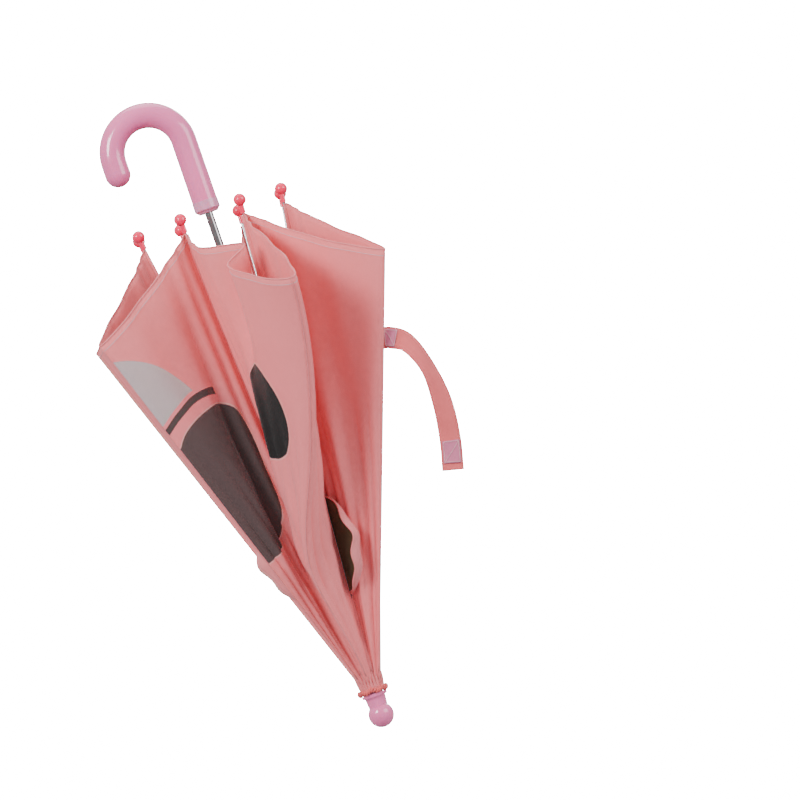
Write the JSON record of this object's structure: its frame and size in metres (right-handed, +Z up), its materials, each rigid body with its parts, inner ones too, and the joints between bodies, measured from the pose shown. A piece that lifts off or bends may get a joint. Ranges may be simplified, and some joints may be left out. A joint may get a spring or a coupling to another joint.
{
  "type": "children's umbrella",
  "caption": "Crook-handled children's stick umbrella, closed but loose, with folding ribs, sliding runner, fabric gores, closing strap and two fabric ears.",
  "frame": {"origin": "on the shaft's axis, at the middle of the handle's straight grip", "axes": "+Z up the shaft to the handle; the hook opens to -X"},
  "size_m": [0.2843, 0.3826, 0.6364],
  "materials": {
    "handle_plastic": "gloss",
    "collar_plastic": "gloss",
    "tip_plastic": "gloss",
    "runner_plastic": "gloss",
    "shaft_chrome": "polished",
    "rib_steel": "satin",
    "canopy_fabric": "matte",
    "strap_fabric": "matte",
    "patch_fabric": "matte",
    "ear_fabric": "matte",
    "trim_cord": "matte"
  },
  "bodies": {
    "root": {"shaft": "shaft_chrome", "handle": "handle_plastic", "handle_collar": "collar_plastic", "crown_notch": "runner_plastic", "crown_wire": "rib_steel", "ferrule_cap": "handle_plastic", "crown_trim": "trim_cord", "canopy_cap": "canopy_fabric", "stop_pin": "shaft_chrome"},
    "runner": {"runner": "runner_plastic", "runner_wire": "rib_steel"},
    "rib_1": {"rib_1": "rib_steel", "tip_1": "tip_plastic", "ear_1": "ear_fabric"},
    "stretcher_1": {"stretcher_1": "rib_steel"},
    "rib_2": {"rib_2": "rib_steel", "tip_2": "tip_plastic"},
    "stretcher_2": {"stretcher_2": "rib_steel"},
    "rib_3": {"rib_3": "rib_steel", "tip_3": "tip_plastic"},
    "stretcher_3": {"stretcher_3": "rib_steel"},
    "rib_4": {"rib_4": "rib_steel", "tip_4": "tip_plastic"},
    "stretcher_4": {"stretcher_4": "rib_steel"},
    "rib_5": {"rib_5": "rib_steel", "tip_5": "tip_plastic"},
    "stretcher_5": {"stretcher_5": "rib_steel"},
    "rib_6": {"rib_6": "rib_steel", "tip_6": "tip_plastic"},
    "stretcher_6": {"stretcher_6": "rib_steel"},
    "rib_7": {"rib_7": "rib_steel", "tip_7": "tip_plastic", "ear_2": "ear_fabric"},
    "stretcher_7": {"stretcher_7": "rib_steel"},
    "rib_8": {"rib_8": "rib_steel", "tip_8": "tip_plastic"},
    "stretcher_8": {"stretcher_8": "rib_steel"},
    "gore_1_a": {"gore_1_a": "canopy_fabric"},
    "gore_1_b": {"gore_1_b": "canopy_fabric"},
    "gore_2_a": {"gore_2_a": "canopy_fabric"},
    "gore_2_b": {"gore_2_b": "canopy_fabric"},
    "gore_3_a": {"gore_3_a": "canopy_fabric"},
    "gore_3_b": {"gore_3_b": "canopy_fabric"},
    "gore_4_a": {"gore_4_a": "canopy_fabric"},
    "gore_4_b": {"gore_4_b": "canopy_fabric"},
    "gore_5_a": {"gore_5_a": "canopy_fabric"},
    "gore_5_b": {"gore_5_b": "canopy_fabric"},
    "gore_6_a": {"gore_6_a": "canopy_fabric"},
    "gore_6_b": {"gore_6_b": "canopy_fabric"},
    "gore_7_a": {"gore_7_a": "canopy_fabric"},
    "gore_7_b": {"gore_7_b": "canopy_fabric"},
    "gore_8_a": {"gore_8_a": "canopy_fabric"},
    "gore_8_b": {"gore_8_b": "canopy_fabric"},
    "strap": {"strap": "strap_fabric", "strap_patch_root": "patch_fabric", "strap_patch_end": "patch_fabric"},
    "open_catch": {"open_catch": "rib_steel"},
    "closed_catch": {"closed_catch": "rib_steel"}
  },
  "joints": [
    {"name": "umbrella_fold", "type": "hinge", "parent": "root", "child": "rib_1", "pos_m": [0.00325, -0.00785, -0.5151], "axis": [0.9239, 0.3827, 0], "range_deg": [-3.3, 49.7]},
    {"name": "stretcher_1_hinge", "type": "hinge", "parent": "rib_1", "child": "stretcher_1", "pos_m": [0.01375, -0.03319, -0.32709], "axis": [0.9239, 0.3827, 0], "range_deg": [-100.4, 7.6]},
    {"name": "rib_2_hinge", "type": "hinge", "parent": "root", "child": "rib_2", "pos_m": [0.00785, -0.00325, -0.5151], "axis": [0.3827, 0.9239, 0], "range_deg": [-3.8, 50.2]},
    {"name": "stretcher_2_hinge", "type": "hinge", "parent": "rib_2", "child": "stretcher_2", "pos_m": [0.03319, -0.01375, -0.32709], "axis": [0.3827, 0.9239, 0], "range_deg": [-100.4, 7.6]},
    {"name": "rib_3_hinge", "type": "hinge", "parent": "root", "child": "rib_3", "pos_m": [0.00785, 0.00325, -0.5151], "axis": [-0.3827, 0.9239, 0], "range_deg": [-3.8, 50.2]},
    {"name": "stretcher_3_hinge", "type": "hinge", "parent": "rib_3", "child": "stretcher_3", "pos_m": [0.03319, 0.01375, -0.32709], "axis": [-0.3827, 0.9239, 0], "range_deg": [-100.4, 7.6]},
    {"name": "rib_4_hinge", "type": "hinge", "parent": "root", "child": "rib_4", "pos_m": [0.00325, 0.00785, -0.5151], "axis": [-0.9239, 0.3827, 0], "range_deg": [-3.8, 50.2]},
    {"name": "stretcher_4_hinge", "type": "hinge", "parent": "rib_4", "child": "stretcher_4", "pos_m": [0.01375, 0.03319, -0.32709], "axis": [-0.9239, 0.3827, 0], "range_deg": [-100.4, 7.6]},
    {"name": "rib_5_hinge", "type": "hinge", "parent": "root", "child": "rib_5", "pos_m": [-0.00325, 0.00785, -0.5151], "axis": [-0.9239, -0.3827, 0], "range_deg": [-3.8, 50.2]},
    {"name": "stretcher_5_hinge", "type": "hinge", "parent": "rib_5", "child": "stretcher_5", "pos_m": [-0.01375, 0.03319, -0.32709], "axis": [-0.9239, -0.3827, 0], "range_deg": [-100.4, 7.6]},
    {"name": "rib_6_hinge", "type": "hinge", "parent": "root", "child": "rib_6", "pos_m": [-0.00785, 0.00325, -0.5151], "axis": [-0.3827, -0.9239, 0], "range_deg": [-3.8, 50.2]},
    {"name": "stretcher_6_hinge", "type": "hinge", "parent": "rib_6", "child": "stretcher_6", "pos_m": [-0.03319, 0.01375, -0.32709], "axis": [-0.3827, -0.9239, 0], "range_deg": [-100.4, 7.6]},
    {"name": "rib_7_hinge", "type": "hinge", "parent": "root", "child": "rib_7", "pos_m": [-0.00785, -0.00325, -0.5151], "axis": [0.3827, -0.9239, 0], "range_deg": [-3.8, 50.2]},
    {"name": "stretcher_7_hinge", "type": "hinge", "parent": "rib_7", "child": "stretcher_7", "pos_m": [-0.03319, -0.01375, -0.32709], "axis": [0.3827, -0.9239, 0], "range_deg": [-100.4, 7.6]},
    {"name": "rib_8_hinge", "type": "hinge", "parent": "root", "child": "rib_8", "pos_m": [-0.00325, -0.00785, -0.5151], "axis": [0.9239, -0.3827, 0], "range_deg": [-3.8, 50.2]},
    {"name": "stretcher_8_hinge", "type": "hinge", "parent": "rib_8", "child": "stretcher_8", "pos_m": [-0.01375, -0.03319, -0.32709], "axis": [0.9239, -0.3827, 0], "range_deg": [-100.4, 7.6]},
    {"name": "runner_hinge", "type": "hinge", "parent": "stretcher_1", "child": "runner", "pos_m": [0.00325, -0.00785, -0.13908], "axis": [0.9239, 0.3827, 0], "range_deg": [-3.8, 50.2]},
    {"name": "gore_1_a_fold", "type": "hinge", "parent": "rib_1", "child": "gore_1_a", "pos_m": [0.00325, -0.00785, -0.5151], "axis": [0.0552, -0.1334, 0.9895], "range_deg": [-5.64, 70.84]},
    {"name": "gore_1_b_fold", "type": "hinge", "parent": "rib_2", "child": "gore_1_b", "pos_m": [0.00785, -0.00325, -0.5151], "axis": [0.1334, -0.0552, 0.9895], "range_deg": [-70.84, 5.64]},
    {"name": "gore_2_a_fold", "type": "hinge", "parent": "rib_2", "child": "gore_2_a", "pos_m": [0.00785, -0.00325, -0.5151], "axis": [0.1334, -0.0552, 0.9895], "range_deg": [-2.4, 22.15]},
    {"name": "gore_2_b_fold", "type": "hinge", "parent": "rib_3", "child": "gore_2_b", "pos_m": [0.00785, 0.00325, -0.5151], "axis": [0.1334, 0.0552, 0.9895], "range_deg": [-127.67, 9.41]},
    {"name": "gore_3_a_fold", "type": "hinge", "parent": "rib_3", "child": "gore_3_a", "pos_m": [0.00785, 0.00325, -0.5151], "axis": [0.1334, 0.0552, 0.9895], "range_deg": [-3.23, 34.56]},
    {"name": "gore_3_b_fold", "type": "hinge", "parent": "rib_4", "child": "gore_3_b", "pos_m": [0.00325, 0.00785, -0.5151], "axis": [0.0552, 0.1334, 0.9895], "range_deg": [-111.61, 8.35]},
    {"name": "gore_4_a_fold", "type": "hinge", "parent": "rib_4", "child": "gore_4_a", "pos_m": [0.00325, 0.00785, -0.5151], "axis": [0.0552, 0.1334, 0.9895], "range_deg": [-5.64, 70.84]},
    {"name": "gore_4_b_fold", "type": "hinge", "parent": "rib_5", "child": "gore_4_b", "pos_m": [-0.00325, 0.00785, -0.5151], "axis": [-0.0552, 0.1334, 0.9895], "range_deg": [-70.84, 5.64]},
    {"name": "gore_5_a_fold", "type": "hinge", "parent": "rib_5", "child": "gore_5_a", "pos_m": [-0.00325, 0.00785, -0.5151], "axis": [-0.0552, 0.1334, 0.9895], "range_deg": [-8.35, 111.61]},
    {"name": "gore_5_b_fold", "type": "hinge", "parent": "rib_6", "child": "gore_5_b", "pos_m": [-0.00785, 0.00325, -0.5151], "axis": [-0.1334, 0.0552, 0.9895], "range_deg": [-34.56, 3.23]},
    {"name": "gore_6_a_fold", "type": "hinge", "parent": "rib_6", "child": "gore_6_a", "pos_m": [-0.00785, 0.00325, -0.5151], "axis": [-0.1334, 0.0552, 0.9895], "range_deg": [-9.41, 127.67]},
    {"name": "gore_6_b_fold", "type": "hinge", "parent": "rib_7", "child": "gore_6_b", "pos_m": [-0.00785, -0.00325, -0.5151], "axis": [-0.1334, -0.0552, 0.9895], "range_deg": [-22.15, 2.4]},
    {"name": "gore_7_a_fold", "type": "hinge", "parent": "rib_7", "child": "gore_7_a", "pos_m": [-0.00785, -0.00325, -0.5151], "axis": [-0.1334, -0.0552, 0.9895], "range_deg": [-5.64, 70.84]},
    {"name": "gore_7_b_fold", "type": "hinge", "parent": "rib_8", "child": "gore_7_b", "pos_m": [-0.00325, -0.00785, -0.5151], "axis": [-0.0552, -0.1334, 0.9895], "range_deg": [-70.84, 5.64]},
    {"name": "gore_8_a_fold", "type": "hinge", "parent": "rib_8", "child": "gore_8_a", "pos_m": [-0.00325, -0.00785, -0.5151], "axis": [-0.0552, -0.1334, 0.9895], "range_deg": [-5.64, 70.84]},
    {"name": "gore_8_b_fold", "type": "hinge", "parent": "rib_1", "child": "gore_8_b", "pos_m": [0.00325, -0.00785, -0.5151], "axis": [0.0552, -0.1334, 0.9895], "range_deg": [-70.84, 5.64]},
    {"name": "strap_swing", "type": "hinge", "parent": "gore_1_b", "child": "strap", "pos_m": [0.11358, -0.10641, -0.21487], "axis": [0, -1, 0], "range_deg": [-8, 40]},
    {"name": "open_catch_press", "type": "hinge", "parent": "root", "child": "open_catch", "pos_m": [0, -0.0019, -0.29553], "axis": [-1, 0, 0], "range_deg": [0, 5]},
    {"name": "closed_catch_press", "type": "hinge", "parent": "root", "child": "closed_catch", "pos_m": [0, -0.0019, -0.10188], "axis": [-1, 0, 0], "range_deg": [0, 5]}
  ],
  "couplings": [
    {"joint": "stretcher_1_hinge", "follows": "umbrella_fold", "ratio": -2},
    {"joint": "rib_2_hinge", "follows": "umbrella_fold", "ratio": 1},
    {"joint": "stretcher_2_hinge", "follows": "umbrella_fold", "ratio": -2},
    {"joint": "rib_3_hinge", "follows": "umbrella_fold", "ratio": 1},
    {"joint": "stretcher_3_hinge", "follows": "umbrella_fold", "ratio": -2},
    {"joint": "rib_4_hinge", "follows": "umbrella_fold", "ratio": 1},
    {"joint": "stretcher_4_hinge", "follows": "umbrella_fold", "ratio": -2},
    {"joint": "rib_5_hinge", "follows": "umbrella_fold", "ratio": 1},
    {"joint": "stretcher_5_hinge", "follows": "umbrella_fold", "ratio": -2},
    {"joint": "rib_6_hinge", "follows": "umbrella_fold", "ratio": 1},
    {"joint": "stretcher_6_hinge", "follows": "umbrella_fold", "ratio": -2},
    {"joint": "rib_7_hinge", "follows": "umbrella_fold", "ratio": 1},
    {"joint": "stretcher_7_hinge", "follows": "umbrella_fold", "ratio": -2},
    {"joint": "rib_8_hinge", "follows": "umbrella_fold", "ratio": 1},
    {"joint": "stretcher_8_hinge", "follows": "umbrella_fold", "ratio": -2},
    {"joint": "runner_hinge", "follows": "umbrella_fold", "ratio": 1},
    {"joint": "gore_1_a_fold", "follows": "umbrella_fold", "ratio": 1.4052},
    {"joint": "gore_1_b_fold", "follows": "umbrella_fold", "ratio": -1.4052},
    {"joint": "gore_2_a_fold", "follows": "umbrella_fold", "ratio": 0.42548},
    {"joint": "gore_2_b_fold", "follows": "umbrella_fold", "ratio": -2.5487},
    {"joint": "gore_3_a_fold", "follows": "umbrella_fold", "ratio": 0.67528},
    {"joint": "gore_3_b_fold", "follows": "umbrella_fold", "ratio": -2.2256},
    {"joint": "gore_4_a_fold", "follows": "umbrella_fold", "ratio": 1.4052},
    {"joint": "gore_4_b_fold", "follows": "umbrella_fold", "ratio": -1.4052},
    {"joint": "gore_5_a_fold", "follows": "umbrella_fold", "ratio": 2.2256},
    {"joint": "gore_5_b_fold", "follows": "umbrella_fold", "ratio": -0.67528},
    {"joint": "gore_6_a_fold", "follows": "umbrella_fold", "ratio": 2.5487},
    {"joint": "gore_6_b_fold", "follows": "umbrella_fold", "ratio": -0.42548},
    {"joint": "gore_7_a_fold", "follows": "umbrella_fold", "ratio": 1.4052},
    {"joint": "gore_7_b_fold", "follows": "umbrella_fold", "ratio": -1.4052},
    {"joint": "gore_8_a_fold", "follows": "umbrella_fold", "ratio": 1.4052},
    {"joint": "gore_8_b_fold", "follows": "umbrella_fold", "ratio": -1.4052}
  ]
}
